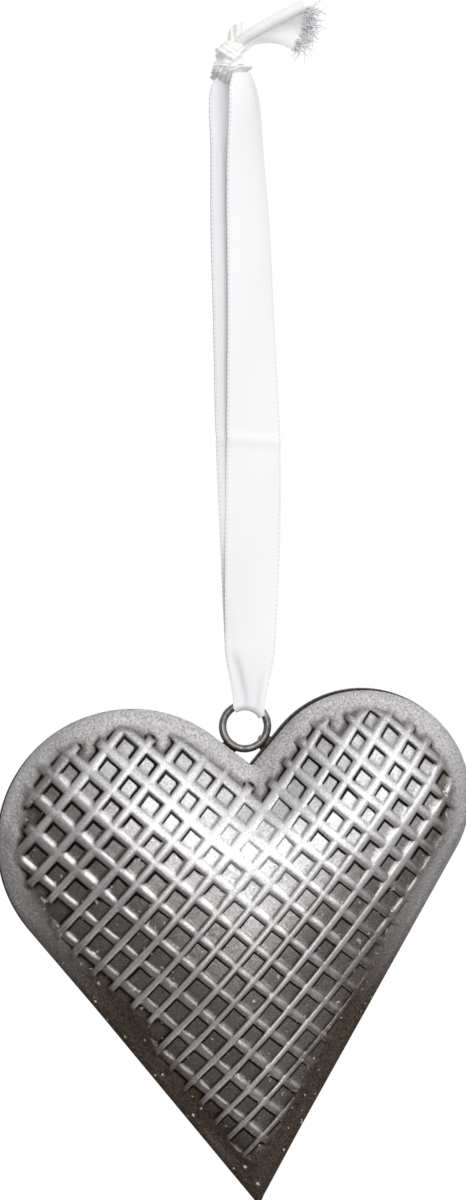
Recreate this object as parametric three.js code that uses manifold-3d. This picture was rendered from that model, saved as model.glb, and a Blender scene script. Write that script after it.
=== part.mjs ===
// Iron hanging ornament: a puffed sheet-iron heart with a wire ring, hung on a loop of satin ribbon.
// The heart is two pressed halves, each with a waffle of raised ribs, tacked together round a flat rim.
// Millimetres, +Z up, the front faces -Y. The origin is the hanging point, in the ribbon loop just
// under its knot.
import * as THREE from 'three';
import { mergeVertices } from 'three/addons/utils/BufferGeometryUtils.js';
import Module from 'manifold-3d';

const wasm = await Module();
wasm.setup();

const radians = THREE.MathUtils.degToRad;

// Heart outline, in its own plane with the notch at 0, 0: two lobe circles, straight edges that touch
// them and run down to the tip, and straight edges that touch them and meet in the notch.
const leftLobeRadius = 22.3;
const rightLobeRadius = 17.6;
const lobeOverlap = 0.5;
const lobeTilt = radians(11.4);
const notchFlat = 8.1;
const tipDrop = 73;
const tipShift = 0.95;

// Pressed sheet
const sheetThickness = 0.6;
const rimWidth = 3.2;
const domeRise = 7.6;
const domeReach = 15;
const seamGap = 0.1;
// The back half sits a little out of line, turned about a point low on the left
const backTurn = radians(0.8);
const backPivotX = -10;
const backPivotY = -40;

// Waffle ribs: their middle crossing from the notch, a step to the next rib of each family, and how much
// each family bends for a step
const ribHeight = 0.9;
const ribCrest = 1;
const ribFoot = 1.8;
const latticeMiddle = { x: -0.8, y: -10.9 };
const cellRight = { x: 3.25, y: -2.68 };
const cellDown = { x: -2.71, y: -3.49 };
const rowBend = { x: -0.031, y: 0.025 };
const ribBend = { x: -0.044, y: -0.01 };
const panelDepth = 5;
const panelShift = 1.2;

// Hanging ring and its solder
const ringRadius = 3.72;
const wireRadius = 0.64;
const seatGap = 0.1;
const solderLength = 3.4;
const solderWidth = 1.9;
const solderDepth = 1.1;

// Tack beads over the rim's edge, as shares of the way round the outline from the tip
const tackShares = [0.105, 0.245, 0.74, 0.86, 0.94, 0.985];
const tackLength = 2.0;
const tackWidth = 2.2;
const tackDepth = 2.4;
const tackInset = 0.3;

// Ribbon: a front and a back strand from the knot, drawn together round the top of the ring
const ribbonWidth = 10;
const ribbonThickness = 0.35;
const hangDrop = 106.4;
const hangShift = 1.5;
const gatherLength = 14.2;
const softGap = 0.3;
const foldLean = radians(14);
const foldSpread = radians(48);
const foldWrap = radians(112);
const foldClear = 0.15;
const legOffset = 1.65;
const legLift = 0.9;
const foldChord = 5.8;
const acrossSteps = 8;

// Each row is a level of a strand: its share of the way down to the gathered foot, then its middle x
// and y, chord across and bow as shares of the ribbon's width, and its turn in degrees. The last row
// is where the strand passes into the gathered foot.
const footDrop = hangDrop - gatherLength;
const frontRows = [
  { level: 0, x: 0.06, y: -0.02, turn: 55, chord: 0.36, bow: 0.12 },
  { level: 0.043, x: 0.12, y: -0.03, turn: 54, chord: 0.76, bow: 0.12 },
  { level: 0.13, x: 0.17, y: -0.03, turn: 50, chord: 0.94, bow: 0.1 },
  { level: 0.325, x: 0.23, y: -0.06, turn: 40, chord: 0.96, bow: 0.08 },
  { level: 0.6, x: 0.29, y: -0.09, turn: 28, chord: 0.98, bow: 0.06 },
  { level: 0.81, x: 0.28, y: -0.1, turn: 20, chord: 0.98, bow: 0.05 },
  { level: 1, x: 0.24, y: -0.11, turn: 8, chord: 0.84, bow: 0.04 },
].map(levelOf);
const backRows = [
  { level: 0, x: -0.16, y: 0.02, turn: 60, chord: 0.36, bow: 0.12 },
  { level: 0.043, x: -0.17, y: 0.03, turn: 58, chord: 0.76, bow: 0.12 },
  { level: 0.13, x: -0.15, y: 0.05, turn: 55, chord: 0.94, bow: 0.1 },
  { level: 0.325, x: -0.09, y: 0.08, turn: 48, chord: 0.96, bow: 0.08 },
  { level: 0.6, x: 0.06, y: 0.1, turn: 35, chord: 0.98, bow: 0.06 },
  { level: 0.81, x: 0.18, y: 0.1, turn: 22, chord: 0.98, bow: 0.05 },
  { level: 1, x: 0.23, y: 0.11, turn: 8, chord: 0.84, bow: 0.04 },
].map(levelOf);
function levelOf(row) {
  return {
    drop: row.level * footDrop,
    x: row.x * ribbonWidth,
    y: row.y * ribbonWidth,
    turn: row.turn,
    chord: row.chord * ribbonWidth,
    bow: row.bow * ribbonWidth,
  };
}
const strandSteps = 18;
const legSteps = 8;
const pleatCount = 4;
const pleatDepth = 0.7;

// Knot and the two cut ends of the ribbon
const knotWidth = 6.2;
const knotDepth = 5.6;
const knotHeight = 7.4;
const knotShift = -0.6;
const knotBand = 1.1;
const knotBandStretch = 3;
const knotPitch = radians(12);
const knotSlant = radians(-24);
// The flap's top and bottom edges are given at the knot and at the cut
const flapStart = 2.7;
const flapLength = 11.8;
const flapDepth = 1.1;
const flapTop = { knot: 8.8, cut: 13.2 };
const flapBottom = { knot: 5, cut: 6 };
const flapWave = 0.35;
const rollStart = { x: 1.3, z: 7.9 };
const rollLength = 11.2;
const rollRadius = 1.15;
const rollTaper = 0.75;
const rollRise = radians(27);
const rollOpen = radians(215);
const rollFrom = radians(-35);

// Facets of the round pieces
const ringSides = 8;
const ringSteps = 32;
const beadSides = 12;
const beadRings = 8;
const knotSides = 16;
const knotRings = 12;
const bandSides = 8;
const bandSteps = 20;

const iron = new THREE.MeshStandardMaterial({ color: '#8c8a85', roughness: 0.45, metalness: 1 });
const wire = new THREE.MeshStandardMaterial({ color: '#5d5b58', roughness: 0.4, metalness: 1 });
const solder = new THREE.MeshStandardMaterial({ color: '#77756f', roughness: 0.5, metalness: 1 });
const satin = new THREE.MeshStandardMaterial({ color: '#f4f2f6', roughness: 0.5, metalness: 0 });

const flat = (x, y) => new THREE.Vector2(x, y);
const polar = (centre, radius, angle) => flat(Math.cos(angle), Math.sin(angle)).multiplyScalar(radius).add(centre);

// A closed solid for cutting and joining, from any closed geometry
function solidOf(geometry) {
  const plain = geometry.clone();
  plain.deleteAttribute('normal');
  plain.deleteAttribute('uv');
  const merged = mergeVertices(plain);
  return new wasm.Manifold(new wasm.Mesh({
    numProp: 3,
    vertProperties: new Float32Array(merged.attributes.position.array),
    triVerts: new Uint32Array(merged.index.array),
  }));
}

function geometryOf(solid) {
  const mesh = solid.getMesh();
  const geometry = new THREE.BufferGeometry();
  geometry.setAttribute('position', new THREE.BufferAttribute(mesh.vertProperties, 3));
  geometry.setIndex(new THREE.BufferAttribute(mesh.triVerts, 1));
  geometry.computeVertexNormals();
  return geometry;
}

// A closed solid between two matching grids of points, outer and inner
function sheetGeometry(outer, inner) {
  const rows = outer.length;
  const columns = outer[0].length;
  const points = [...outer.flat(), ...inner.flat()];
  const outerAt = (row, column) => row * columns + column;
  const innerAt = (row, column) => rows * columns + outerAt(row, column);
  const index = [];
  const quad = (a, b, c, d) => index.push(a, b, c, a, c, d);
  for (let row = 0; row < rows - 1; row += 1) {
    for (let column = 0; column < columns - 1; column += 1) {
      const [r, c] = [row + 1, column + 1];
      quad(outerAt(row, column), outerAt(row, c), outerAt(r, c), outerAt(r, column));
      quad(innerAt(row, column), innerAt(r, column), innerAt(r, c), innerAt(row, c));
    }
  }
  for (let row = 0; row < rows - 1; row += 1) {
    const last = columns - 1;
    quad(outerAt(row, 0), outerAt(row + 1, 0), innerAt(row + 1, 0), innerAt(row, 0));
    quad(outerAt(row, last), innerAt(row, last), innerAt(row + 1, last), outerAt(row + 1, last));
  }
  for (let column = 0; column < columns - 1; column += 1) {
    const last = rows - 1;
    quad(outerAt(0, column), innerAt(0, column), innerAt(0, column + 1), outerAt(0, column + 1));
    quad(outerAt(last, column), outerAt(last, column + 1), innerAt(last, column + 1), innerAt(last, column));
  }
  return indexedGeometry(points, index);
}

// A geometry from points and triangles, turned so that its faces point outwards
function indexedGeometry(points, index) {
  if (enclosedVolume(points, index) < 0) index.reverse();
  const geometry = new THREE.BufferGeometry().setFromPoints(points);
  geometry.setIndex(index);
  geometry.computeVertexNormals();
  return geometry;
}

function enclosedVolume(points, index) {
  let total = 0;
  for (let corner = 0; corner < index.length; corner += 3) {
    const [a, b, c] = [0, 1, 2].map((step) => points[index[corner + step]]);
    total += a.dot(b.clone().cross(c)) / 6;
  }
  return total;
}

// Where a straight edge from a point outside touches a circle; turn picks one of the two sides
function touchAngle(from, centre, radius, turn) {
  const reach = from.clone().sub(centre);
  return reach.angle() + turn * Math.acos(radius / reach.length());
}

const notch = flat(0, 0);
const tip = flat(tipShift, -tipDrop);
const lobeSpan = leftLobeRadius + rightLobeRadius - lobeOverlap;
const leftReach = (lobeSpan ** 2 + leftLobeRadius ** 2 - rightLobeRadius ** 2) / (2 * lobeSpan);
const lobeDrop = Math.sqrt(leftLobeRadius ** 2 + notchFlat ** 2 - leftReach ** 2);
const leftLobe = flat(-leftReach, -lobeDrop).rotateAround(notch, lobeTilt);
const rightLobe = flat(lobeSpan - leftReach, -lobeDrop).rotateAround(notch, lobeTilt);
const leftFlank = touchAngle(tip, leftLobe, leftLobeRadius, -1);
const leftBrow = touchAngle(notch, leftLobe, leftLobeRadius, 1);
const rightBrow = touchAngle(notch, rightLobe, rightLobeRadius, -1);
const rightFlank = touchAngle(tip, rightLobe, rightLobeRadius, 1);
const backPivot = flat(backPivotX, backPivotY);

function heartOutline() {
  const leftStart = polar(leftLobe, leftLobeRadius, leftFlank);
  const rightStart = polar(rightLobe, rightLobeRadius, rightBrow);
  const outline = new THREE.Shape();
  outline.moveTo(tip.x, tip.y);
  outline.lineTo(leftStart.x, leftStart.y);
  outline.absarc(leftLobe.x, leftLobe.y, leftLobeRadius, leftFlank, leftBrow, true);
  outline.lineTo(notch.x, notch.y);
  outline.lineTo(rightStart.x, rightStart.y);
  outline.absarc(rightLobe.x, rightLobe.y, rightLobeRadius, rightBrow, rightFlank, true);
  outline.lineTo(tip.x, tip.y);
  return outline;
}

const outline = heartOutline();
const lobeSegments = 30;
const edgeCount = 240;
const edgePoints = outline.getSpacedPoints(edgeCount);
const edgeStep = outline.getLength() / edgeCount;

function insideOutline(point) {
  let inside = false;
  edgePoints.forEach((end, order) => {
    const start = edgePoints[(order + edgeCount) % (edgeCount + 1)];
    const spans = (start.y > point.y) !== (end.y > point.y);
    const crossing = start.x + (point.y - start.y) / (end.y - start.y) * (end.x - start.x);
    if (spans && point.x < crossing) inside = !inside;
  });
  return inside;
}

// Softened distance from the edge: true to the distance near a straight edge, and rounded off inside
// where edges face each other, so that the dome has no crease down its middle.
function depthInside(point) {
  if (!insideOutline(point)) return 0;
  const pull = edgePoints.reduce((sum, edge) => sum + edgeStep / edge.distanceToSquared(point) ** 2, 0);
  return Math.cbrt(Math.PI / 2 / pull);
}

// Height of the puffed sheet over its flat rim: a soft bend at the foot, then a round crown
function domeAt(point) {
  const share = THREE.MathUtils.clamp((depthInside(point) - rimWidth) / domeReach, 0, 1);
  const bend = THREE.MathUtils.smoothstep(share, 0, 1);
  const crown = 1 - (1 - share) ** 2;
  return domeRise * (bend + crown) / 2;
}

// A place on the waffle, in steps along its two families of ribs. The ribs curve a little, so a bend grows
// with the square of the steps. Offsets are millimetres to one side of a rib's middle line.
const stepRight = Math.hypot(cellRight.x, cellRight.y);
const stepDown = Math.hypot(cellDown.x, cellDown.y);
function crossing(fan, cross, fanOffset, crossOffset) {
  const right = fan + fanOffset / stepRight;
  const down = cross + crossOffset / stepDown;
  const [x, y] = ['x', 'y'].map((axis) => (
    latticeMiddle[axis] + right * cellRight[axis] + down * cellDown[axis]
    + right ** 2 * rowBend[axis] + down ** 2 * ribBend[axis]
  ));
  return flat(x, y);
}

// Where two lines meet, each given by its normal and its distance from the notch
function meeting(first, second) {
  const spread = first.normal.cross(second.normal);
  const x = (first.distance * second.normal.y - second.distance * first.normal.y) / spread;
  const y = (second.distance * first.normal.x - first.distance * second.normal.x) / spread;
  return flat(x, y);
}

// The first and last rib of a family that are needed to cover the whole heart, with room for their bend
const bendRoom = 2;
function orderRange(orderOf) {
  const orders = edgePoints.map((point) => orderOf(point.clone().sub(latticeMiddle)));
  return [Math.floor(Math.min(...orders)) - bendRoom, Math.ceil(Math.max(...orders)) + bendRoom];
}
const cellSpread = cellRight.x * cellDown.y - cellRight.y * cellDown.x;
const [fanStart, fanEnd] = orderRange((away) => (away.x * cellDown.y - away.y * cellDown.x) / cellSpread);
const [crossStart, crossEnd] = orderRange((away) => (cellRight.x * away.y - cellRight.y * away.x) / cellSpread);

// A cell of the waffle is pressed where its middle lies far enough inside the rim
const pressed = new Map();
function cellPressed(fan, cross) {
  const key = `${fan} ${cross}`;
  if (!pressed.has(key)) {
    const middle = crossing(fan + 0.5, cross + 0.5, 0, 0);
    pressed.set(key, depthInside(middle.sub(flat(panelShift, 0))) > panelDepth);
  }
  return pressed.get(key);
}

// Ribs stand to their full height over a crossing that has a pressed cell beside it. Past the last
// such crossing a rib runs down to nothing.
function ribStands(fan, cross) {
  return [0, 1].some((back) => [0, 1].some((left) => cellPressed(fan - back, cross - left)));
}

// A list of points and triangles that gives each place its own point once
class Surface {
  points = [];
  index = [];
  known = new Map();

  point(key, make) {
    if (!this.known.has(key)) {
      this.known.set(key, this.points.length);
      this.points.push(make());
    }
    return this.known.get(key);
  }

  quad(a, b, c, d) {
    this.index.push(a, b, c, a, c, d);
  }

  // A closed block from the surface down to a flat base
  blockTo(base) {
    const count = this.points.length;
    const low = this.points.map((point) => new THREE.Vector3(point.x, point.y, base));
    const edges = new Map();
    const walls = [];
    const floor = [];
    for (let corner = 0; corner < this.index.length; corner += 3) {
      const [a, b, c] = this.index.slice(corner, corner + 3);
      floor.push(a + count, c + count, b + count);
      [[a, b], [b, c], [c, a]].forEach(([from, to]) => edges.set(`${from} ${to}`, [from, to]));
    }
    edges.forEach(([from, to]) => {
      if (edges.has(`${to} ${from}`)) return;
      walls.push(to, from, from + count, to, from + count, to + count);
    });
    return indexedGeometry([...this.points, ...low], [...this.index, ...walls, ...floor]);
  }
}

// The outer face of a half: every cell has a floor and four walls up to the crests of its ribs
function waffleSurface() {
  const surface = new Surface();
  const corner = (fan, cross, fanSide, crossSide, width) => {
    const key = [fan, cross, fanSide, crossSide, width].join(' ');
    return surface.point(key, () => {
      const point = crossing(fan, cross, fanSide * width / 2, crossSide * width / 2);
      const rib = width === ribCrest && ribStands(fan, cross) ? ribHeight : 0;
      return new THREE.Vector3(point.x, point.y, sheetThickness + domeAt(point) + rib);
    });
  };
  const crest = (fan, cross, fanSide, crossSide) => corner(fan, cross, fanSide, crossSide, ribCrest);
  for (let fan = fanStart; fan < fanEnd; fan += 1) {
    for (let cross = crossStart; cross < crossEnd; cross += 1) {
      const [f, c] = [fan + 1, cross + 1];
      const places = [[fan, cross, 1, 1], [fan, c, 1, -1], [f, c, -1, -1], [f, cross, -1, 1]];
      const floor = places.map((place) => corner(...place, ribFoot));
      const rise = places.map((place) => crest(...place));
      surface.quad(...floor);
      places.forEach((_, side) => {
        const next = (side + 1) % 4;
        surface.quad(rise[side], rise[next], floor[next], floor[side]);
      });
      const along = [crest(fan, cross, -1, 1), crest(fan, c, -1, -1)];
      surface.quad(along[0], along[1], rise[1], rise[0]);
      const across = [crest(fan, cross, 1, -1), crest(f, cross, -1, -1)];
      surface.quad(across[0], rise[0], rise[3], across[1]);
      surface.quad(crest(fan, cross, -1, -1), along[0], rise[0], across[0]);
    }
  }
  return surface;
}

// The inner face, a plain dome that starts where the rim ends
function hollowSurface(depthOutside) {
  const surface = new Surface();
  const place = (fan, cross) => surface.point(`${fan} ${cross}`, () => {
    const point = crossing(fan, cross, 0, 0);
    return new THREE.Vector3(point.x, point.y, depthInside(point) > rimWidth ? domeAt(point) : -depthOutside);
  });
  for (let fan = fanStart; fan < fanEnd; fan += 1) {
    for (let cross = crossStart; cross < crossEnd; cross += 1) {
      surface.quad(place(fan, cross), place(fan, cross + 1), place(fan + 1, cross + 1), place(fan + 1, cross));
    }
  }
  return surface;
}

// One pressed half, lying on its seam plane with its ribs upwards. Dome and ribs end at the flat rim.
function pressedHalf() {
  const spare = 1;
  const edge = outline.extractPoints(lobeSegments).shape.map((point) => [point.x, point.y]);
  const blank = new wasm.CrossSection([edge], 'NonZero');
  const rim = blank.extrude(sheetThickness);
  const panel = blank.offset(-rimWidth, 'Round').extrude(sheetThickness + domeRise + 2 * ribHeight);
  const ribbed = solidOf(waffleSurface().blockTo(-spare));
  const hollow = solidOf(hollowSurface(spare).blockTo(-2 * spare));
  return geometryOf(rim.add(panel).intersect(ribbed).subtract(hollow));
}

// A flat slab of the heart's outline, as thick as both rims, moved a little along one direction
function rimSlab(turn, push) {
  const half = sheetThickness + seamGap / 2 + seatGap / 2;
  const slab = new THREE.ExtrudeGeometry(outline, {
    depth: 2 * half, bevelEnabled: false, curveSegments: lobeSegments,
  });
  slab.translate(-backPivot.x, -backPivot.y, -half);
  slab.rotateZ(turn);
  slab.translate(backPivot.x + push.x, backPivot.y + push.y, 0);
  return solidOf(slab);
}

// The ring lies in the notch, against the front half's left edge and the back half's right edge
const browEnd = (lobe, radius, angle, turn) => polar(lobe, radius, angle).rotateAround(backPivot, turn);
const leftEdgeOut = browEnd(leftLobe, leftLobeRadius, leftBrow, 0).sub(notch).normalize();
const leftNormal = flat(leftEdgeOut.y, -leftEdgeOut.x);
const backNotch = notch.clone().rotateAround(backPivot, backTurn);
const rightEdgeOut = browEnd(rightLobe, rightLobeRadius, rightBrow, backTurn).sub(backNotch).normalize();
const rightNormal = flat(-rightEdgeOut.y, rightEdgeOut.x);
const ringSeat = ringRadius + wireRadius + seatGap;
const ringCentre = meeting(
  { normal: leftNormal, distance: leftNormal.dot(notch) + ringSeat },
  { normal: rightNormal, distance: rightNormal.dot(backNotch) + ringSeat },
);

function ringGeometry(radius) {
  const ring = new THREE.TorusGeometry(ringRadius, radius, ringSides, ringSteps);
  ring.translate(ringCentre.x, ringCentre.y, 0);
  return ring;
}

// A bead of solder: an egg with its length along the seam, before its seat is cut out of it
function bead(middle, normal, length, width, depth, z) {
  const egg = new THREE.SphereGeometry(0.5, beadSides, beadRings);
  egg.scale(length, width, depth);
  egg.rotateZ(normal.angle() - Math.PI / 2);
  egg.translate(middle.x, middle.y, z);
  return solidOf(egg);
}

// Solder behind the ring, where it touches an edge of the notch
function ringSolder(normal) {
  const touch = ringCentre.clone().addScaledVector(normal, -ringSeat + seatGap / 2);
  const push = normal.clone().multiplyScalar(seatGap / 2);
  const lump = bead(touch, normal, solderLength, solderWidth, solderDepth, -solderDepth / 2);
  const cleared = lump.subtract(solidOf(ringGeometry(wireRadius + seatGap / 2)));
  return geometryOf(cleared.subtract(rimSlab(0, push)).subtract(rimSlab(backTurn, push)));
}

// A tack bead that laps over the edge of both rims
function rimTack(share) {
  const edge = outline.getPointAt(share);
  const along = outline.getTangentAt(share);
  const outward = flat(-along.y, along.x);
  const middle = edge.clone().addScaledVector(outward, -tackInset);
  const push = outward.clone().multiplyScalar(seatGap / 2);
  const lump = bead(middle, outward, tackLength, tackWidth, tackDepth, 0);
  return geometryOf(lump.subtract(rimSlab(0, push)).subtract(rimSlab(backTurn, push)));
}

// Levels of the ribbon through the given rows, on smooth curves so that the strand has no kink
function smoothLevels(rows, steps) {
  const places = new THREE.CatmullRomCurve3(rows.map((row) => new THREE.Vector3(row.x, row.y, row.drop)));
  const forms = new THREE.CatmullRomCurve3(rows.map((row) => new THREE.Vector3(row.turn, row.chord, row.bow)));
  return Array.from({ length: steps + 1 }, (_, step) => {
    const place = places.getPoint(step / steps);
    const form = forms.getPoint(step / steps);
    return { x: place.x, y: place.y, drop: place.z, turn: form.x, chord: form.y, bow: form.z };
  });
}

// Points across one level, on the side of the ribbon given by lift, with any pleats standing outwards
function levelPoints(level, lift, pleat) {
  const turn = radians(level.turn);
  const side = Math.sign(level.y) || -1;
  return Array.from({ length: acrossSteps + 1 }, (_, step) => {
    const across = 2 * step / acrossSteps - 1;
    const out = pleat * (1 - Math.cos(pleatCount * Math.PI * across)) / 2;
    const rise = side * (out + lift) - level.bow * (1 - across ** 2);
    const place = flat(across * level.chord / 2, rise).rotateAround(notch, turn);
    return new THREE.Vector3(level.x + place.x, level.y + place.y, -level.drop);
  });
}

function clothGeometry(levels, pleats) {
  const half = ribbonThickness / 2;
  const outer = levels.map((level, order) => levelPoints(level, half, pleats[order]));
  const inner = levels.map((level, order) => levelPoints(level, -half, pleats[order]));
  return sheetGeometry(outer, inner);
}

function strandGeometry(rows) {
  const levels = smoothLevels(rows, strandSteps);
  return clothGeometry(levels, levels.map(() => 0));
}

// Where the ribbon passes under the ring's wire, in the object's own frame
const ringMiddle = new THREE.Vector3(hangShift, 0, -hangDrop);
const foldX = ringMiddle.x + ringRadius * Math.sin(foldLean);
const foldZ = ringMiddle.z + ringRadius * Math.cos(foldLean);

// One leg of the gathered foot, from the end of a strand down beside the ring's wire
function legGeometry(rows) {
  const end = rows.at(-1);
  const top = { ...end, drop: end.drop + softGap };
  const side = Math.sign(top.y);
  const bottom = { drop: -foldZ - legLift, x: foldX, y: side * legOffset, turn: 0, chord: foldChord, bow: 0 };
  const levels = smoothLevels([top, bottom], legSteps);
  const pleats = levels.map((_, step) => pleatDepth * THREE.MathUtils.smoothstep(step / legSteps, 0, 1));
  return clothGeometry(levels, pleats);
}

// The saddle of ribbon under the wire, which follows the curve of the ring
function foldGeometry() {
  const alongSteps = 10;
  const aroundSteps = 10;
  const surface = (radius) => Array.from({ length: alongSteps + 1 }, (_, step) => {
    const lean = foldLean + foldSpread * (2 * step / alongSteps - 1);
    return Array.from({ length: aroundSteps + 1 }, (__, turn) => {
      const wrap = foldWrap * (2 * turn / aroundSteps - 1);
      const reach = ringRadius - radius * Math.cos(wrap);
      const [x, z] = [reach * Math.sin(lean), reach * Math.cos(lean)];
      return new THREE.Vector3(ringMiddle.x + x, radius * Math.sin(wrap), ringMiddle.z + z);
    });
  });
  const inside = wireRadius + foldClear;
  return sheetGeometry(surface(inside + ribbonThickness), surface(inside));
}

// The knot: a tight core with one turn of ribbon drawn slantwise round it
function knotGeometry() {
  const coreWidth = knotWidth - knotBand;
  const coreDepth = knotDepth - knotBand;
  const core = new THREE.SphereGeometry(0.5, knotSides, knotRings);
  core.scale(coreWidth, coreDepth, knotHeight);
  const turn = new THREE.TorusGeometry(0.5, knotBand / 2 / coreWidth, bandSides, bandSteps);
  turn.scale(coreWidth, coreDepth, knotBandStretch * coreWidth);
  turn.rotateX(knotPitch);
  turn.rotateY(knotSlant);
  const geometry = geometryOf(solidOf(core).add(solidOf(turn)));
  geometry.translate(knotShift, 0, knotHeight / 2 + softGap);
  return geometry;
}

// The cut end that lies behind: a flat flap that widens away from the knot
function flapGeometry() {
  const lengthSteps = 10;
  const widthSteps = 6;
  const surface = (lift) => Array.from({ length: lengthSteps + 1 }, (_, step) => {
    const share = step / lengthSteps;
    const top = THREE.MathUtils.lerp(flapTop.knot, flapTop.cut, share);
    const bottom = THREE.MathUtils.lerp(flapBottom.knot, flapBottom.cut, share);
    return Array.from({ length: widthSteps + 1 }, (__, across) => {
      const z = THREE.MathUtils.lerp(top, bottom, across / widthSteps);
      const ripple = flapWave * Math.sin(Math.PI * (share * 2 + across / widthSteps));
      return new THREE.Vector3(flapStart + share * flapLength, flapDepth + ripple + lift, z);
    });
  });
  return sheetGeometry(surface(-ribbonThickness / 2), surface(ribbonThickness / 2));
}

// The cut end that lies in front: rolled lengthwise into a slim half pipe
function rollGeometry() {
  const lengthSteps = 8;
  const roundSteps = 12;
  const surface = (radius) => Array.from({ length: lengthSteps + 1 }, (_, step) => {
    const along = step / lengthSteps * rollLength;
    const swell = THREE.MathUtils.lerp(rollTaper, 1, step / lengthSteps);
    return Array.from({ length: roundSteps + 1 }, (__, turn) => {
      const angle = rollFrom + rollOpen * turn / roundSteps;
      const up = radius * swell * Math.cos(angle);
      const x = rollStart.x + along * Math.cos(rollRise) - up * Math.sin(rollRise);
      const z = rollStart.z + along * Math.sin(rollRise) + up * Math.cos(rollRise);
      return new THREE.Vector3(x, -rollRadius / 2 - radius * swell * Math.sin(angle), z);
    });
  });
  return sheetGeometry(surface(rollRadius), surface(rollRadius - ribbonThickness));
}

function piece(name, geometry, material) {
  const mesh = new THREE.Mesh(geometry, material);
  mesh.name = name;
  return mesh;
}

// The heart is modelled lying in its own plane, then stood up with its front to -Y
function heart() {
  const group = new THREE.Group();
  group.rotation.x = Math.PI / 2;
  group.position.set(ringMiddle.x - ringCentre.x, 0, ringMiddle.z - ringCentre.y);
  const half = pressedHalf();
  const front = piece('front_shell', half, iron);
  front.position.z = seamGap / 2;
  const back = piece('back_shell', half, iron);
  back.scale.z = -1;
  back.position.set(-backPivot.x, -backPivot.y, -seamGap / 2);
  const turned = new THREE.Group();
  turned.position.set(backPivot.x, backPivot.y, 0);
  turned.rotation.z = backTurn;
  turned.add(back);
  group.add(front, turned);
  group.add(piece('hanging_ring', ringGeometry(wireRadius), wire));
  group.add(piece('ring_solder_left', ringSolder(leftNormal), solder));
  group.add(piece('ring_solder_right', ringSolder(rightNormal), solder));
  tackShares.forEach((share, order) => group.add(piece(`rim_tack_${order + 1}`, rimTack(share), solder)));
  return group;
}

function ribbon() {
  const group = new THREE.Group();
  group.add(piece('ribbon_front_strand', strandGeometry(frontRows), satin));
  group.add(piece('ribbon_back_strand', strandGeometry(backRows), satin));
  group.add(piece('ribbon_front_gather', legGeometry(frontRows), satin));
  group.add(piece('ribbon_back_gather', legGeometry(backRows), satin));
  group.add(piece('ribbon_fold', foldGeometry(), satin));
  group.add(piece('ribbon_knot', knotGeometry(), satin));
  group.add(piece('ribbon_tail_flap', flapGeometry(), satin));
  group.add(piece('ribbon_tail_roll', rollGeometry(), satin));
  return group;
}

const ornament = new THREE.Group();
ornament.add(ribbon(), heart());

export default ornament;
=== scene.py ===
"""Iron hanging ornament: a puffed sheet-iron heart with a waffle of ribs, a wire ring and a satin ribbon."""
import math

import bpy
import numpy as np
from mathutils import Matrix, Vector


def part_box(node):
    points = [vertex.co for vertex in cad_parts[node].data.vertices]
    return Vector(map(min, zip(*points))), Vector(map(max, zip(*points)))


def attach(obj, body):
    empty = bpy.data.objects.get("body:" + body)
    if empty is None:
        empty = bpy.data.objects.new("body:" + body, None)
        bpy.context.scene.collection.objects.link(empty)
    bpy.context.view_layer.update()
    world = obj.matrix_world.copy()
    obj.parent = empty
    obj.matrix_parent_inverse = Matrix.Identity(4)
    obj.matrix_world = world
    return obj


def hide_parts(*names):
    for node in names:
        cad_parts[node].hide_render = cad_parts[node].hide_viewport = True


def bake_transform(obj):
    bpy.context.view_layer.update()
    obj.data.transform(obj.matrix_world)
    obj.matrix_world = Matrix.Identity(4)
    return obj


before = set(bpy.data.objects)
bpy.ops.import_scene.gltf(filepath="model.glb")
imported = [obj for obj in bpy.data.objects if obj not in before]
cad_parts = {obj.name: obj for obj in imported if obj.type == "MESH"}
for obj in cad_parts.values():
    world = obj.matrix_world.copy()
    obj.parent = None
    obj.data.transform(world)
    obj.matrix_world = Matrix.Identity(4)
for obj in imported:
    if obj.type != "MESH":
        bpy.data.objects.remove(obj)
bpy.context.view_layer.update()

mm = 0.001

# Heart outline in its own plane, in millimetres, with the notch at 0, 0
left_radius = 22.3
right_radius = 17.6
lobe_overlap = 0.5
lobe_tilt = math.radians(11.4)
notch_flat = 8.1
tip_drop = 73.0
tip_shift = 0.95
back_turn = math.radians(0.8)
back_pivot = np.array([-10.0, -40.0])

# Pressed sheet: a rim that leans back a little, a soft bend and a round crown
sheet_thickness = 0.6
seam_gap = 0.1
seam_hold = 0.4
rim_width = 3.2
rim_lean = math.radians(8)
rim_edge_round = 0.13
dome_rise = 7.2
dome_reach = 15.0
bend_round = 1.6
dome_shift = np.array([0.6, 0])
depth_step = 1.05
rim_step = 0.42
rim_clear = 1.6 * rim_step
# Slow waves of the rim: height, turn for each millimetre right and up, and start
rim_waves = [(0.09, 0.21, 0.13, 0.6), (0.07, -0.17, 0.34, 0)]
# Small dents and bumps of the rim: place from the notch, reach and height in millimetres
rim_marks = [
    (-18.2, 6.9, 1.0, -0.16), (-40.0, -11.6, 1.6, 0.2),
    (-21, -48, 1.2, -0.12), (26, 8.5, 1.4, -0.1),
]

# Waffle of ribs: the middle crossing, a step to the next rib of each family and the bend for a step
lattice_middle = np.array([-0.8, -10.9])
cell_right = np.array([3.25, -2.68])
cell_down = np.array([-2.71, -3.49])
row_bend = np.array([-0.031, 0.025])
rib_bend = np.array([-0.044, -0.01])
bend_room = 2
panel_depth = 5.0
panel_shift = np.array([1.2, 0])
# Cells at the panel's edge, in steps right and down, that the die missed or just caught
missed_cells = [(-5, -1), (-1, -2)]
caught_cells = [(1, -7), (-6, 5), (7, 8), (8, 8)]
rib_height = 0.72
rib_crest = 1.1
rib_foot = 1.9
rib_round = 0.3
far_away = 99.0
fan_stub = 1.3
cross_stub = 1.0
rib_fade_start = 2.5
rib_fade_end = 3.7
# Every second cell is narrower, and no two ribs are quite alike
cell_swap = 0.058
line_wander = 0.03
height_wander = 0.12
width_wander = 0.13
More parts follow.
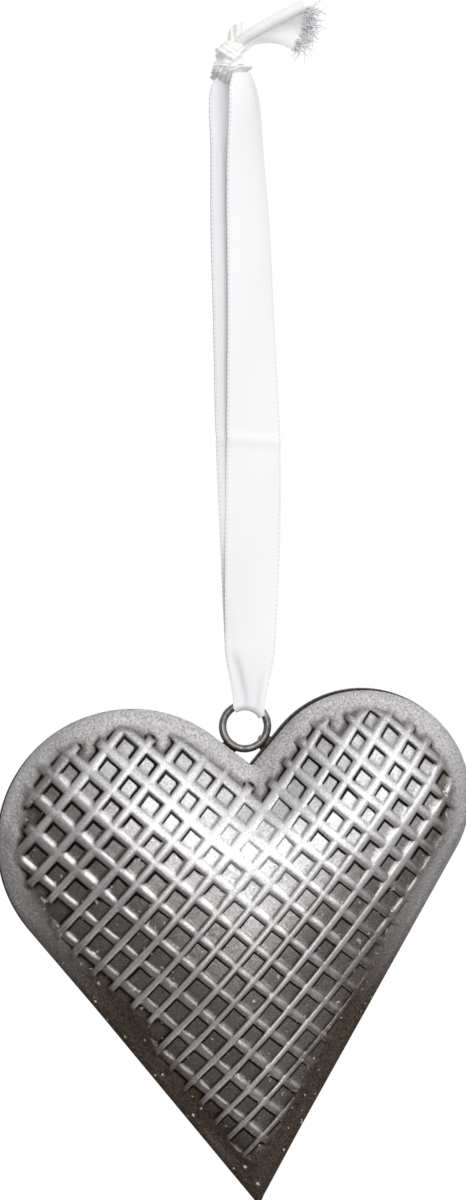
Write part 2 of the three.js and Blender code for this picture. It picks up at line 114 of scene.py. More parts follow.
# Places along a cell where the grid has a line
rib_stations = [0, 0.08, 0.132, 0.157, 0.185, 0.22, 0.33, 0.5, 0.67, 0.78, 0.815, 0.843, 0.868, 0.92]
# Towards the tip the ribs narrow, and the cross ribs sink but for the middle of their run
low_levels = (-8.0, -30.0)
low_narrow = 0.22
cross_sink = 0.3
run_rise = 0.5
# Towards the lower right edge the ribs are lower and less rubbed
low_right_across = (2.0, 10.0)
shallow_depth = (11.0, 5.0)
flank_shallow = 0.25
flank_rub_loss = 2.0
# Rubbed crests, weaker on the cross ribs and at the panel's edge
rub_levels = (0.4, 0.9)
cross_rub = 0.6
edge_rub = 0.3
rub_depth = 7.0
# Painted highlights: bright tabs on the walls that face the middle of the heart
tab_width = 1.3
tab_low = (0.1, 0.4)
tab_high = (1.0, 0.75)
tab_clear = (0.75, 1.15)
tab_turn = (10.0, 22.0)
tab_patina_and_shade = (0.05, 0.4)
low_tab_loss = 0.75
low_tab_drop = 8.0
# Painted shade: dark lines at the feet of the ribs, and dirt with painted shade in the groove round the panel
crease_reach = 0.3
crease_clear = 1.7
edge_line = 0.75
lower_line = 0.85
lower_line_levels = (-15.0, -4.0)
groove_reach = 0.9
groove_depth = 0.15
# Over the crown the ribs are rubbed lower and the lines are fainter
worn_middle = np.array([1.0, -14.0])
worn_reach = 14.0
worn_share = 0.72
crease_fade = 0.5
# Painted highlight: the iron is painted lighter the higher the dome rises: share, and the heights between
# which it grows
crown_highlight_heights = [(0.7, 0.9, 3.2), (0.3, 4.0, 7.2)]

# Brown patina with painted shade, darker towards the tip: on the rim it grows from one level under the notch
# to another, in the cells it starts below a line that rises to both sides, and on the flanks it follows the
# bend beside the panel
rim_patina_and_shade_levels = (-16.0, -42.0)
floor_patina_and_shade = 0.78
floor_patina_and_shade_level = -25.0
floor_patina_and_shade_reach = 9.0
left_patina_and_shade_rise = 0.75
right_patina_and_shade_rise = 0.58
bend_patina_and_shade = 0.85
left_bend_depth = 4.1
right_bend_depth = 4.7
bend_spread = 1.1
flank_across = (18.0, 31.0)
flank_levels = (7.0, -3.0)

# Ring, with its waves by height, count and start, and the pinched butt of its wire
ring_radius = 3.72
wire_radius = 0.64
seat_gap = 0.1
ring_waves = [(0.008, 2, 0.7), (0.005, 3, 0)]
butt_angle = -1.9
butt_spread = 0.022
butt_pinch = 0.1

# Tack beads, the waves that make a bead uneven, and the range in which random waves start
tack_count = 6
bead_waves = 6
bead_wave_turn = 4
wave_starts = (0, 6)

# Middle of the heart in metres, which the lamps face
heart_middle = Vector((0, 0, -0.145))

# Ribbon
ribbon_width = 10.0
ribbon_thickness = 0.28
hang_drop = 106.4
hang_shift = 1.5
gather_length = 14.2
foot_drop = hang_drop - gather_length
fold_lean = math.radians(14)
fold_spread = math.radians(46)
fold_clear = 0.42
loop_top = 2.4
strand_columns = 24
strand_rows = 190
leg_rows = 34
wrap_rows = 16
pleat_swell = 0.35
pleat_depth = 1.1
pleat_end = 0.9
fold_shade = 0.3
fold_shade_full = 0.5
back_shade = 0.2
back_shade_levels = (0.98, 0.75)
# Ripple and one cross crease of the strands
ripple_height = 0.12
ripple_turn = 0.16
ripple_lag = 1.3
ripple_full = 12.0
kink_depth = 0.22
kink_drop = 58.8
kink_slant = 0.3
kink_spread = 0.55
# Grooves of the gathered foot: side, reach, the shares of the way where each starts and is full, depth
foot_grooves = [(-1, 0.17, 0, 0.4, 1), (1, 0.16, 0.3, 0.8, 0.8)]
groove_side = 0.8
groove_draw = 0.48

# Levels of each strand: share of the way down to the foot, middle x and y, turn in degrees, chord and
# bow. All but the share and the turn are shares of the ribbon's width.
front_rows = [
    (-0.026, 0.1, -0.02, 55, 0.5, 0.12),
    (0, 0.13, -0.02, 55, 0.8, 0.13),
    (0.043, 0.155, -0.03, 54, 0.9, 0.12),
    (0.13, 0.17, -0.03, 50, 0.94, 0.1),
    (0.325, 0.23, -0.06, 40, 0.96, 0.08),
    (0.6, 0.29, -0.09, 28, 0.98, 0.06),
    (0.81, 0.28, -0.1, 20, 0.98, 0.05),
    (1, 0.24, -0.11, 8, 0.84, 0.04),
]
back_rows = [
    (-0.026, -0.2, 0.02, 60, 0.24, 0.06),
    (0, -0.265, 0.04, 60, 0.6, 0.1),
    (0.043, -0.24, 0.04, 58, 0.8, 0.12),
    (0.13, -0.15, -0.02, 55, 0.94, 0.1),
    (0.325, -0.09, -0.04, 48, 0.96, 0.08),
    (0.6, 0.06, -0.02, 35, 0.98, 0.06),
    (0.81, 0.18, -0.04, 22, 0.98, 0.05),
    (1, 0.23, 0.11, 8, 0.84, 0.04),
]

# Knot by levels: height, middle x, half width and half depth in millimetres
knot_levels = [
    (0.7, -1.3, 2.2, 1.9), (1.8, -1.3, 2.75, 2.4), (3.2, -1.2, 2.6, 2.4), (4.5, -1.2, 1.9, 2.0),
    (5.8, -1.1, 2.0, 1.8), (7.0, -0.7, 1.9, 1.5), (8.0, -0.2, 1.3, 0.9),
]
# Turns of ribbon drawn round it: slant in degrees, height at the middle, half width and swell
knot_turns = [(20, 2.0, 1.0, 0.35), (-42, 5.6, 0.9, 0.4), (58, 4.4, 0.7, 0.35), (-12, 3.6, 0.5, 0.25)]
knot_lean = 0.3
turn_edge = 0.12
pleat_rise = 0.1
pleat_step = 0.7
crumple_rise = 1.5
crumple_mean = 0.6
crease_spreads = (0.7, 1.5)
knot_swell_levels = (0.7, 2.6)
knot_lean_levels = (4.5, 1.0)
knot_lean_least = -0.5
knot_square = 6
collar_shade = 0.75
collar_levels = (3.8, 2.6)
collar_across = (0.2, -1.4)
collar_slant = 0.35

# Small fold that stands up from the knot like an ear, behind the rolled end
ear_lines = 25
ear_foot = (-0.5, -0.2, 6.4)
ear_shift = 0.6
ear_height = 4.2
ear_half_width = 1.3
ear_taper = 0.1
ear_gutter = 0.7
ear_opening = 0.4
ear_ripple = 0.15
ear_ripple_turns = (7, 5)
ear_tilt = 0.6
ear_corner = 0.3
ear_span = 4.0
ear_thickness = 0.25

# Cut ends: the path of the rolled one, and the two edges of the flat one
cut_thickness = 0.2
cut_start = 10.0
roll_path = [(0.1, -0.3, 7.1), (1.5, -0.95, 8.3), (4.6, -1.2, 10.1), (8, -1.2, 11.95), (11.3, -1.1, 13.5)]
roll_rows = 61
roll_columns = 53
roll_length = 13.0
roll_start = math.radians(-150)
roll_sweep = math.radians(620)
roll_radius = 0.98
roll_flare = 0.12
roll_flare_end = 0.6
roll_tighten = 0.36
roll_waver = 0.03
roll_waver_turn = 19
roll_flat = 0.85
roll_shade = 0.1
root_shade = 0.6
root_end = 0.1
flap_bottom = [
    (0.4, 0.3, 4.6), (1.8, 0.4, 6.2), (3.2, 0.5, 7.3), (5.2, 0.6, 7.6), (7.4, 0.6, 7.3), (10.0, 0.4, 6.1),
]
flap_top = [
    (0.2, 0.3, 7.2), (1.8, 0.4, 8.6), (4.2, 0.5, 10.2), (7.0, 0.5, 11.8), (9.8, 0.5, 12.9), (12.6, 0.4, 13.4),
]
flap_rows = 49
flap_columns = 25
flap_length = 12.0
flap_fold = 0.25
flap_fold_turns = (9, 4)
flap_fold_levels = (0.1, 0.6)
flap_bulge = 0.9
flap_shade = 0.05
flap_shade_sides = (0.3, 0.7)
flap_shade_loss = 0.5

# Loose threads of the flat end
thread_count = 140
thread_crowd = 0.8
thread_scatter = 0.3
thread_root = np.array([0.9, 0.3, 0])
thread_lengths = (1.2, 3.3)
thread_angles = (-50, 30)
thread_bends = (-1.2, 0.6)
thread_radius = 0.08
thread_taper = 0.45
thread_sway = 0.5
thread_sway_turn = 3

# Camera
photo_width = 466
photo_height = 1200
pixels_per_mm = 6
hang_pixel = (236, 88)
camera_distance = 0.6
sensor_height = 24


def place(points, turn):
    """Heart-plane points (x, y, z towards the viewer) in millimetres to the object's own frame in metres."""
    flat = turned(points[:, :2], turn) + ring_middle - ring_centre
    return np.column_stack([flat[:, 0], -points[:, 2], flat[:, 1]]) * mm


def turned(points, turn, pivot=back_pivot):
    """Points of the heart's plane turned about a pivot, which is the back half's if none is given."""
    across = points - pivot
    cos, sin = math.cos(turn), math.sin(turn)
    return np.column_stack([
        across[:, 0] * cos - across[:, 1] * sin,
        across[:, 0] * sin + across[:, 1] * cos,
    ]) + pivot


def smoothstep(low, high, value):
    share = np.clip((value - low) / (high - low), 0, 1)
    return share * share * (3 - 2 * share)


def polar(centre, radius, angle):
    return np.stack([centre[0] + radius * np.cos(angle), centre[1] + radius * np.sin(angle)], -1)


# Outline
def touch_angle(start, centre, radius, turn):
    """Where a straight edge from a point touches a lobe circle."""
    reach = start - centre
    return math.atan2(reach[1], reach[0]) + turn * math.acos(radius / math.hypot(*reach))


notch = np.zeros(2)
tip = np.array([tip_shift, -tip_drop])
lobe_span = left_radius + right_radius - lobe_overlap
left_reach = (lobe_span ** 2 + left_radius ** 2 - right_radius ** 2) / (2 * lobe_span)
lobe_drop = math.sqrt(left_radius ** 2 + notch_flat ** 2 - left_reach ** 2)
level_lobes = np.array([[-left_reach, -lobe_drop], [lobe_span - left_reach, -lobe_drop]])
left_lobe, right_lobe = turned(level_lobes, lobe_tilt, notch)
left_flank = touch_angle(tip, left_lobe, left_radius, -1)
left_brow = touch_angle(notch, left_lobe, left_radius, 1)
right_brow = touch_angle(notch, right_lobe, right_radius, -1)
right_flank = touch_angle(tip, right_lobe, right_radius, 1)


def straight(start, end, step):
    count = max(2, round(np.hypot(*(end - start)) / step))
    share = np.arange(count)[:, None] / count
    return start + (end - start) * share


def lobe_arc(centre, radius, first, last, step):
    sweep = (first - last) % (2 * math.pi)
    count = round(sweep * radius / step)
    return polar(centre, radius, first - sweep * np.arange(count) / count)


def outline_points(step):
    """Points round the heart, clockwise from the tip, with both corners kept."""
    runs = []
    for lobe, radius, first, last, start, end in (
        (left_lobe, left_radius, left_flank, left_brow, tip, notch),
        (right_lobe, right_radius, right_brow, right_flank, notch, tip),
    ):
        runs.append(straight(start, polar(lobe, radius, first), step))
        runs.append(lobe_arc(lobe, radius, first, last, step))
        runs.append(straight(polar(lobe, radius, last), end, step))
    return np.concatenate(runs)


depth_edge = outline_points(depth_step)
rim_loop = outline_points(rim_step)


def inside_outline(points):
    x, y = points[..., 0], points[..., 1]
    inside = np.zeros(x.shape, bool)
    for start, end in zip(depth_edge, np.roll(depth_edge, -1, 0)):
        spans = (start[1] > y) != (end[1] > y)
        slope = (end[0] - start[0]) / ((end[1] - start[1]) or 1e-12)
        inside ^= spans & (x < start[0] + (y - start[1]) * slope)
    return inside


def depth_inside(points):
    """Softened distance from the edge, 0 outside."""
    pull = np.zeros(points.shape[:-1])
    for edge in depth_edge:
        pull += depth_step / np.maximum(((points - edge) ** 2).sum(-1), 1e-9) ** 2
    return np.where(inside_outline(points), np.cbrt(math.pi / 2 / pull), 0)


def dome_at(depth):
    """Height over the edge: the leaning rim, a soft bend and the crown."""
    past = depth - rim_width
    lifted = (past + np.sqrt(past ** 2 + bend_round ** 2)) / 2
    share = np.clip(lifted / dome_reach, 0, 1)
    crown = dome_rise * (smoothstep(0, 1, share) + 1 - (1 - share) ** 2) / 2
    return crown + math.tan(rim_lean) * np.minimum(depth, rim_width)


# Where the ring sits in the notch
def edge_normal(lobe, radius, angle, turn, side):
    start = turned(notch[None], turn)[0]
    out = turned(polar(lobe, radius, angle)[None], turn)[0] - start
    out = out / np.hypot(*out)
    return start, side * np.array([out[1], -out[0]])


ring_seat = ring_radius + wire_radius + seat_gap
left_corner, left_normal = edge_normal(left_lobe, left_radius, left_brow, 0, 1)
right_corner, right_normal = edge_normal(right_lobe, right_radius, right_brow, back_turn, -1)
ring_centre = np.linalg.solve(
    np.array([left_normal, right_normal]),
    np.array([left_normal @ left_corner + ring_seat, right_normal @ right_corner + ring_seat]),
)
ring_middle = np.array([hang_shift, -hang_drop])


# Modelling helpers
def edit_mode(on):
    bpy.ops.object.mode_set(mode="EDIT" if on else "OBJECT")


def clear_selection():
    bpy.ops.object.select_all(action="DESELECT")


def take(obj):
    clear_selection()
    bpy.context.view_layer.objects.active = obj
    obj.select_set(True)


def named(name):
    obj = bpy.context.object
    obj.name = name
    obj.data.name = name
    return obj


def positions(obj):
    values = np.empty(len(obj.data.vertices) * 3)
    obj.data.vertices.foreach_get("co", values)
    return values.reshape(-1, 3)


def move_points(obj, points):
    obj.data.vertices.foreach_set("co", np.asarray(points, float).ravel())
    obj.data.update()


def attribute(obj, name, values):
    layer = obj.data.attributes.new(name, "FLOAT", "POINT")
    layer.data.foreach_set("value", np.asarray(values, np.float32))


def apply_modifier(obj, kind, **values):
    take(obj)
    modifier = obj.modifiers.new(kind.lower(), kind)
    for key, value in values.items():
        setattr(modifier, key, value)
    bpy.ops.object.modifier_apply(modifier=modifier.name)


def smooth(obj, degrees=60):
    take(obj)
    bpy.ops.object.shade_smooth_by_angle(angle=math.radians(degrees))


def new_grid(name, rows, columns):
    clear_selection()
    bpy.ops.mesh.primitive_grid_add(x_subdivisions=columns - 1, y_subdivisions=rows - 1, size=1)
    return named(name)


def finish_piece(obj, material):
    obj.data.materials.clear()
    obj.data.materials.append(material)


# Pressed halves
step_right = math.hypot(*cell_right)
step_down = math.hypot(*cell_down)


def crossing(right, down):
    """A place on the waffle, in steps along its two families of ribs."""
    right, down = np.asarray(right)[..., None], np.asarray(down)[..., None]
    straight_part = lattice_middle + right * cell_right + down * cell_down
    return straight_part + right ** 2 * row_bend + down ** 2 * rib_bend


def order_range(orders):
    return int(np.floor(orders.min())) - bend_room, int(np.ceil(orders.max())) + bend_room


steps_to_edge = (depth_edge - lattice_middle) @ np.linalg.inv(np.array([cell_right, cell_down]))
fan_start, fan_end = order_range(steps_to_edge[:, 0])
cross_start, cross_end = order_range(steps_to_edge[:, 1])


def pressed_cells():
    """Which cells are pressed, and which crossings have one beside them."""
    fans = np.arange(fan_start - 1, fan_end + 1) + 0.5
    crosses = np.arange(cross_start - 1, cross_end + 1) + 0.5
    middles = crossing(*np.meshgrid(fans, crosses, indexing="ij"))
    cell = depth_inside(middles - panel_shift) > panel_depth
    for cells, pressed in ((missed_cells, False), (caught_cells, True)):
        for right, down in cells:
            cell[right - fan_start + 1, down - cross_start + 1] = pressed
    return cell, cell[:-1, :-1] | cell[1:, :-1] | cell[:-1, 1:] | cell[1:, 1:]


def rib_profile(distance, width):
    """A rounded crest between two steep walls."""
    away = distance / width
    crest = 1 - rib_round * np.minimum(away / (rib_crest / 2), 1) ** 2
    return crest * smoothstep(rib_foot / 2, rib_crest / 2, away)


def past_end(raised, line, along, step, stub):
    """How far a place lies beyond the stub of its rib, in millimetres: 0 where the rib stands."""
    first = np.clip(np.floor(along).astype(int), 0, raised.shape[1] - 2)
    share = along - first
    here, there = raised[line, first], raised[line, first + 1]
    beyond = np.minimum(
        np.where(here, share * step - stub, far_away),
        np.where(there, (1 - share) * step - stub, far_away),
    )
    return np.where(here & there, 0, np.maximum(beyond, 0))


def patina_and_shade_at(flat, depth):
    """Share of brown tarnish with painted shade in it: none over the lobes, most towards the tip."""
    across, level = flat[..., 0], flat[..., 1]
    rim = smoothstep(*rim_patina_and_shade_levels, level)
    line = floor_patina_and_shade_level + np.where(across < 0, -left_patina_and_shade_rise, right_patina_and_shade_rise) * across
    floor = floor_patina_and_shade * smoothstep(line + floor_patina_and_shade_reach, line - floor_patina_and_shade_reach, level)
    panel = smoothstep(rim_width, panel_depth, depth)
    flank = smoothstep(*flank_across, np.abs(across)) * smoothstep(*flank_levels, level)
    bend_depth = np.where(across < 0, left_bend_depth, right_bend_depth)
    bend = bend_patina_and_shade * flank * np.exp(-((depth - bend_depth) / bend_spread) ** 2)
    return np.maximum(rim * (1 - panel) + floor * panel, bend)


def uneven(draw, line, along, shape):
    """Slow random change along each rib, from -1 to 1."""
    values = draw.uniform(-1, 1, shape)
    first = np.clip(np.floor(along).astype(int), 0, shape[1] - 2)
    share = smoothstep(0, 1, along - first)
    return values[line, first] * (1 - share) + values[line, first + 1] * share


def highlight_tab(side, rib, run):
    """Where the inner wall of a rib gets a painted highlight: part of its height, clear of the ribs that
    cross it.
    """
    wall = smoothstep(*tab_low, rib) * smoothstep(*tab_high, rib)
    return np.where(side < 0, wall, 0) * smoothstep(*tab_clear, np.abs(run))


def rib_lines(draw, count, swap=0):
    """Grid lines along one family of ribs: their steps, and the same with each rib a little off its place."""
    steps = (np.arange(count - 1)[:, None] + np.array(rib_stations)).ravel()
    wander = swap + draw.uniform(-line_wander, line_wander, count)
    return steps, steps + np.interp(steps, np.arange(count), wander)


def rib_grid(draw, raised):
    """A grid with lines along both families of ribs: its steps, and its places in the heart's plane."""
    fan_count, cross_count = raised.shape
    swap = np.where((np.arange(fan_count) + fan_start) % 2 == 0, -cell_swap, cell_swap)
    fans, fan_places = rib_lines(draw, fan_count, swap)
    crosses, cross_places = rib_lines(draw, cross_count)
    fan_grid, cross_grid = np.meshgrid(fans, crosses, indexing="ij")
    flat = crossing(*np.meshgrid(fan_places + fan_start, cross_places + cross_start, indexing="ij"))
    return fan_grid, cross_grid, flat


def pressed_form(seed):
    """Grid of points over the heart: their places, heights, depths and masks for the finish."""
    draw = np.random.RandomState(seed)
    cell, raised = pressed_cells()
    fan_grid, cross_grid, flat = rib_grid(draw, raised)
    x, y = flat[..., 0], flat[..., 1]
    depth = depth_inside(flat)
    dome_depth = depth_inside(flat - dome_shift)
    dome = dome_at(dome_depth)
    patina_and_shade = patina_and_shade_at(flat, dome_depth)
    fan_line = np.rint(fan_grid).astype(int)
    cross_line = np.rint(cross_grid).astype(int)
    fan_side = (fan_grid - fan_line) * step_right
    cross_side = (cross_grid - cross_line) * step_down
    fan_away = np.hypot(fan_side, past_end(raised, fan_line, cross_grid, step_down, fan_stub))
    cross_away = np.hypot(cross_side, past_end(raised.T, cross_line, fan_grid, step_right, cross_stub))

    def fan_change():
        return uneven(draw, fan_line, cross_grid, raised.shape)

    def cross_change():
        return uneven(draw, cross_line, fan_grid, raised.T.shape)

    low = smoothstep(*low_levels, y)
    narrow = 1 - low_narrow * low
    fan_wide = narrow * (1 + width_wander * fan_change())
    cross_wide = narrow * (1 + width_wander * cross_change())
    fan_tall = 1 - height_wander * fan_change()
    between = smoothstep(rib_crest / 2, step_right / 2, np.abs(fan_side))
    sunk = cross_sink * low * (1 - run_rise * between)
    cross_tall = (1 - sunk) * (1 - height_wander * cross_change())
    low_right = smoothstep(*low_right_across, x) * low
    fade = smoothstep(rib_fade_start, rib_fade_end, depth)
    fade = fade * (1 - flank_shallow * low_right * smoothstep(*shallow_depth, depth))

    # The wall with the bright tabs is broader: at the lower left of a cell, on the right at its lower right
    to_right = smoothstep(*tab_turn, x)
    fan_slope = np.where(fan_side < 0, 1 + (tab_width - 1) * to_right, 1)
    cross_slope = np.where(cross_side < 0, tab_width, 1)
    fan_rib = rib_profile(fan_away, fan_wide * fan_slope) * fan_tall * fade
    cross_rib = rib_profile(cross_away, cross_wide * cross_slope) * cross_tall * fade
    relief = np.maximum(fan_rib, cross_rib)
    left_tab = highlight_tab(cross_side, cross_rib, fan_side) * (1 - to_right)
    right_tab = highlight_tab(fan_side, fan_rib, cross_side) * to_right * fade ** 2
    tab = (left_tab + right_tab) * (1 - low_tab_loss * smoothstep(*low_levels, y + low_tab_drop))

    # Cells have a dark line of painted shade under their upper edges, on the lobes all round. The panel has a
    # brown groove of dirt and painted shade.
    open_cell = cell[np.floor(fan_grid).astype(int) + 1, np.floor(cross_grid).astype(int) + 1]
    fan_share, cross_share = fan_away / fan_wide, cross_away / cross_wide
    nearest = np.minimum(fan_share, cross_share)
    upper_side = np.where(fan_share < cross_share, fan_side, cross_side) > 0
    foot = rib_foot / 2
    lined = smoothstep(foot + crease_reach, foot, nearest) * fade
    crease = np.clip(lined - crease_clear * relief, 0, 1)
    grooved = smoothstep(foot + groove_reach, foot + groove_reach / 4, nearest) * fade
    groove = np.where(open_cell, 0, np.clip(grooved - crease_clear * relief, 0, 1))
    wear = np.exp(-((flat - worn_middle) ** 2).sum(-1) / worn_reach ** 2)
    kept = 1 - crease_fade * wear
    lined_below = lower_line * smoothstep(*lower_line_levels, y)

    lightened = np.maximum(smoothstep(*rub_levels, fan_rib), cross_rub * smoothstep(*rub_levels, cross_rib))
    rub_reach = rub_depth + flank_rub_loss * low_right
    rub_share = smoothstep(0, 1, (depth - rib_fade_end) / (rub_reach - rib_fade_end))
    masks = {
        "crest": lightened * (edge_rub + (1 - edge_rub) * rub_share),
        # Painted highlights on the tabs, where the brown tone is
        "tab": np.where(open_cell, tab, 0) * smoothstep(*tab_patina_and_shade, patina_and_shade),
        # Painted shade: dark lines at the feet of the ribs
        "crease": crease * np.where(open_cell, np.where(upper_side, 1, lined_below) * kept, edge_line),
        # Painted brown shade under the lower edges of the cells
        "lower_edge_shade": np.where(open_cell & ~upper_side, crease * kept, 0),
        # Dirt and painted shade in the groove round the panel
        "groove": groove,
        # Painted highlight, lighter the higher the dome
        "crown": sum(share * smoothstep(start, full, dome) for share, start, full in crown_highlight_heights),
        # Brown patina with painted shade, darker towards the tip
        "patina_and_shade": patina_and_shade,
    }
    height = dome + rib_height * (1 - worn_share * wear) * relief - groove_depth * groove
    return flat, height, depth, masks


def rim_wave(points):
    """Slight hand-made unevenness of the sheet, in millimetres."""
    x, y = points[:, 0], points[:, 1]
    wave = sum(height * np.sin(right * x + up * y + start) for height, right, up, start in rim_waves)
    for mark_x, mark_y, reach, height in rim_marks:
        wave += height * np.exp(-((x - mark_x) ** 2 + (y - mark_y) ** 2) / reach ** 2)
    return wave * smoothstep(seam_hold, 4 * seam_hold, depth_inside(points[:, :2]))


def keep_off_edge(points, depth):
    """Grid points that lie outside the sheet or too near its edge."""
    nearest = np.full(len(points), np.inf)
    for edge in rim_loop:
        nearest = np.minimum(nearest, ((points - edge) ** 2).sum(1))
    return (depth == 0) | (nearest < rim_clear ** 2)


def edge_loop(masks):
    """The heart's outline as a loop of edges, with the same masks as the grid."""
    clear_selection()
    bpy.ops.mesh.primitive_circle_add(vertices=len(rim_loop), fill_type="NOTHING")
    edge = named("edge")
    level = np.zeros(len(rim_loop))
    move_points(edge, np.column_stack([rim_loop, level]))
    for mask in masks:
        attribute(edge, mask, patina_and_shade_at(rim_loop, level) if mask == "patina_and_shade" else level)
    return edge


def fill_to_edge(sheet, edge, outside):
    """Cuts the grid back from the outline, joins the two and fills the strip between them."""
    take(sheet)
    edit_mode(True)
    bpy.ops.mesh.select_all(action="DESELECT")
    edit_mode(False)
    sheet.data.vertices.foreach_set("select", outside)
    edit_mode(True)
    bpy.ops.mesh.delete(type="VERT")
    edit_mode(False)
    edge.select_set(True)
    bpy.ops.object.join()
    edit_mode(True)
    bpy.ops.mesh.select_mode(type="EDGE")
    bpy.ops.mesh.select_all(action="DESELECT")
    bpy.ops.mesh.select_non_manifold(extend=False, use_wire=True, use_boundary=True)
    bpy.ops.mesh.fill(use_beauty=True)
    bpy.ops.mesh.select_all(action="SELECT")
    bpy.ops.mesh.normals_make_consistent(inside=False)
    edit_mode(False)


def pressed_half(name, node, seed, side, turn):
    """One pressed half: a grid shaped over the heart, filled out to its edge, then given its thickness."""
    flat, height, depth, masks = pressed_form(seed)
    sheet = new_grid(name, *depth.shape)
    flat = flat.reshape(-1, 2)
    move_points(sheet, np.column_stack([flat, height.ravel()]))
    for mask, values in masks.items():
        attribute(sheet, mask, values.ravel())
    fill_to_edge(sheet, edge_loop(masks), keep_off_edge(flat, depth.ravel()))
    points = positions(sheet)
    points[:, 2] += rim_wave(points) + seam_gap / 2 + sheet_thickness
    if sheet.data.polygons[0].normal.z < 0:
        sheet.data.flip_normals()
    move_points(sheet, place(points * [1, 1, side], turn))
    if side < 0:
        sheet.data.flip_normals()
    sheet.data.materials.append(iron)
    sheet.data.materials.append(oxide_and_shade_edge)
    apply_modifier(sheet, "SOLIDIFY", thickness=sheet_thickness * mm, offset=-1, material_offset=1,
                   material_offset_rim=1)
    apply_modifier(sheet, "BEVEL", width=rim_edge_round * mm, segments=2, limit_method="ANGLE",
                   angle_limit=math.radians(78), material=1)
    smooth(sheet, degrees=48)
    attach(sheet, "heart")
    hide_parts(node)


# Materials: tones that lie over the bare iron, among them painted shade, and how much of them shows
cloud_tone = (0.265, 0.251, 0.241)
cloud_share = 0.4
groove_tone = (0.075, 0.059, 0.047)
groove_share = 0.9
lower_edge_shade_tone = (0.06, 0.047, 0.037)
lower_edge_shade_share = 0.85
line_tone = (0.012, 0.009, 0.008)
# Shares that follow another mask: how far they do, and how much is always there
line_share = (0.4, 0.78)
bare_share = (0.1, 0.45)
pit_rough = 0.1
pit_smooth = 0.06
# Weave of the satin: lengths in millimetres, depths beside the twill's
twill_slant = 0.6
twill_step = 0.55
thread_step = 0.28
thread_depth = 0.12
woven_edge = 4.6
dot_step = 0.75
dot_depth = 0.8
dot_share = (0.2, 0.24)
weave_share = 0.16
cloud_spread = (0.5, 0.25)
stripe_step = 1.3
border_tone = (0.6, 0.59, 0.62)
painted_shade_tone = (0.6, 0.575, 0.65)
stripe_tone = (0.6, 0.57, 0.66)
collar_tone = (0.52, 0.505, 0.53)
collar_step = 0.8
collar_share = (0.3, 0.7)
# Turns -1 to 1 into 0 to 1
to_share = (0.5, 0.5)


def material_nodes(name):
    material = bpy.data.materials.new(name)
    material.use_nodes = True
    tree = material.node_tree
    shader = tree.nodes["Principled BSDF"]
    return material, tree, shader


def add_node(tree, kind, **values):
    node = tree.nodes.new(kind)
    for key, value in values.items():
        setattr(node, key, value)
    return node


def rgba(colour):
    """A colour, or a plain level of grey, as a socket takes it."""
    return (*colour, 1) if isinstance(colour, tuple) else (colour, colour, colour, 1)


def feed(socket, value):
    """Links a socket to another one, or gives it a constant."""
    if isinstance(value, bpy.types.NodeSocket):
        socket.id_data.links.new(value, socket)
    else:
        socket.default_value = value if socket.type == "VALUE" else rgba(value)


def dress(node, **values):
    """Feeds the sockets of a node, which go by their names in small letters."""
    for name, value in values.items():
        feed(node.inputs[name.replace("_", " ").title()], value)


def node_after(kind, *values, **settings):
    """A new node in the tree of the sockets that feed it."""
    tree = next(value.id_data for value in values if isinstance(value, bpy.types.NodeSocket))
    return add_node(tree, kind, **settings)


def point_masks(tree, *names):
    return [add_node(tree, "ShaderNodeAttribute", attribute_name=name).outputs["Fac"] for name in names]


def noise(tree, scale, detail, roughness=0.5):
    node = add_node(tree, "ShaderNodeTexNoise")
    place = add_node(tree, "ShaderNodeTexCoord").outputs["Object"]
    dress(node, vector=place, scale=scale, detail=detail, roughness=roughness)
    return node.outputs["Fac"]


def ramp(value, *stops):
    node = node_after("ShaderNodeValToRGB", value)
    elements = node.color_ramp.elements
    while len(elements) < len(stops):
        elements.new(0.5)
    for element, (position, colour) in zip(elements, stops):
        element.position = position
        element.color = rgba(colour)
    feed(node.inputs["Fac"], value)
    return node.outputs["Color"]


def mixed(factor, first, second, blend="MIX"):
    node = node_after("ShaderNodeMix", factor, first, second, data_type="RGBA", blend_type=blend)
    for name, value in (("Factor", factor), ("A", first), ("B", second)):
        feed(next(item for item in node.inputs if item.name == name and item.enabled), value)
    return next(item for item in node.outputs if item.enabled)


def calculated(operation, *values):
    node = node_after("ShaderNodeMath", *values, operation=operation)
    for socket, value in zip(node.inputs, values):
        feed(socket, value)
    return node.outputs[0]


def product(first, second):
    return calculated("MULTIPLY", first, second)


def scaled(value, scale, start):
    return calculated("MULTIPLY_ADD", value, scale, start)


def greater(first, second):
    return calculated("MAXIMUM", first, second)


def wave(value, step):
    """A sine along a value, with its wavelength."""
    return calculated("SINE", product(value, 2 * math.pi / step))


def bumped(height, strength, distance):
    node = node_after("ShaderNodeBump", height)
    dress(node, height=height, strength=strength, distance=distance)
    return node.outputs["Normal"]


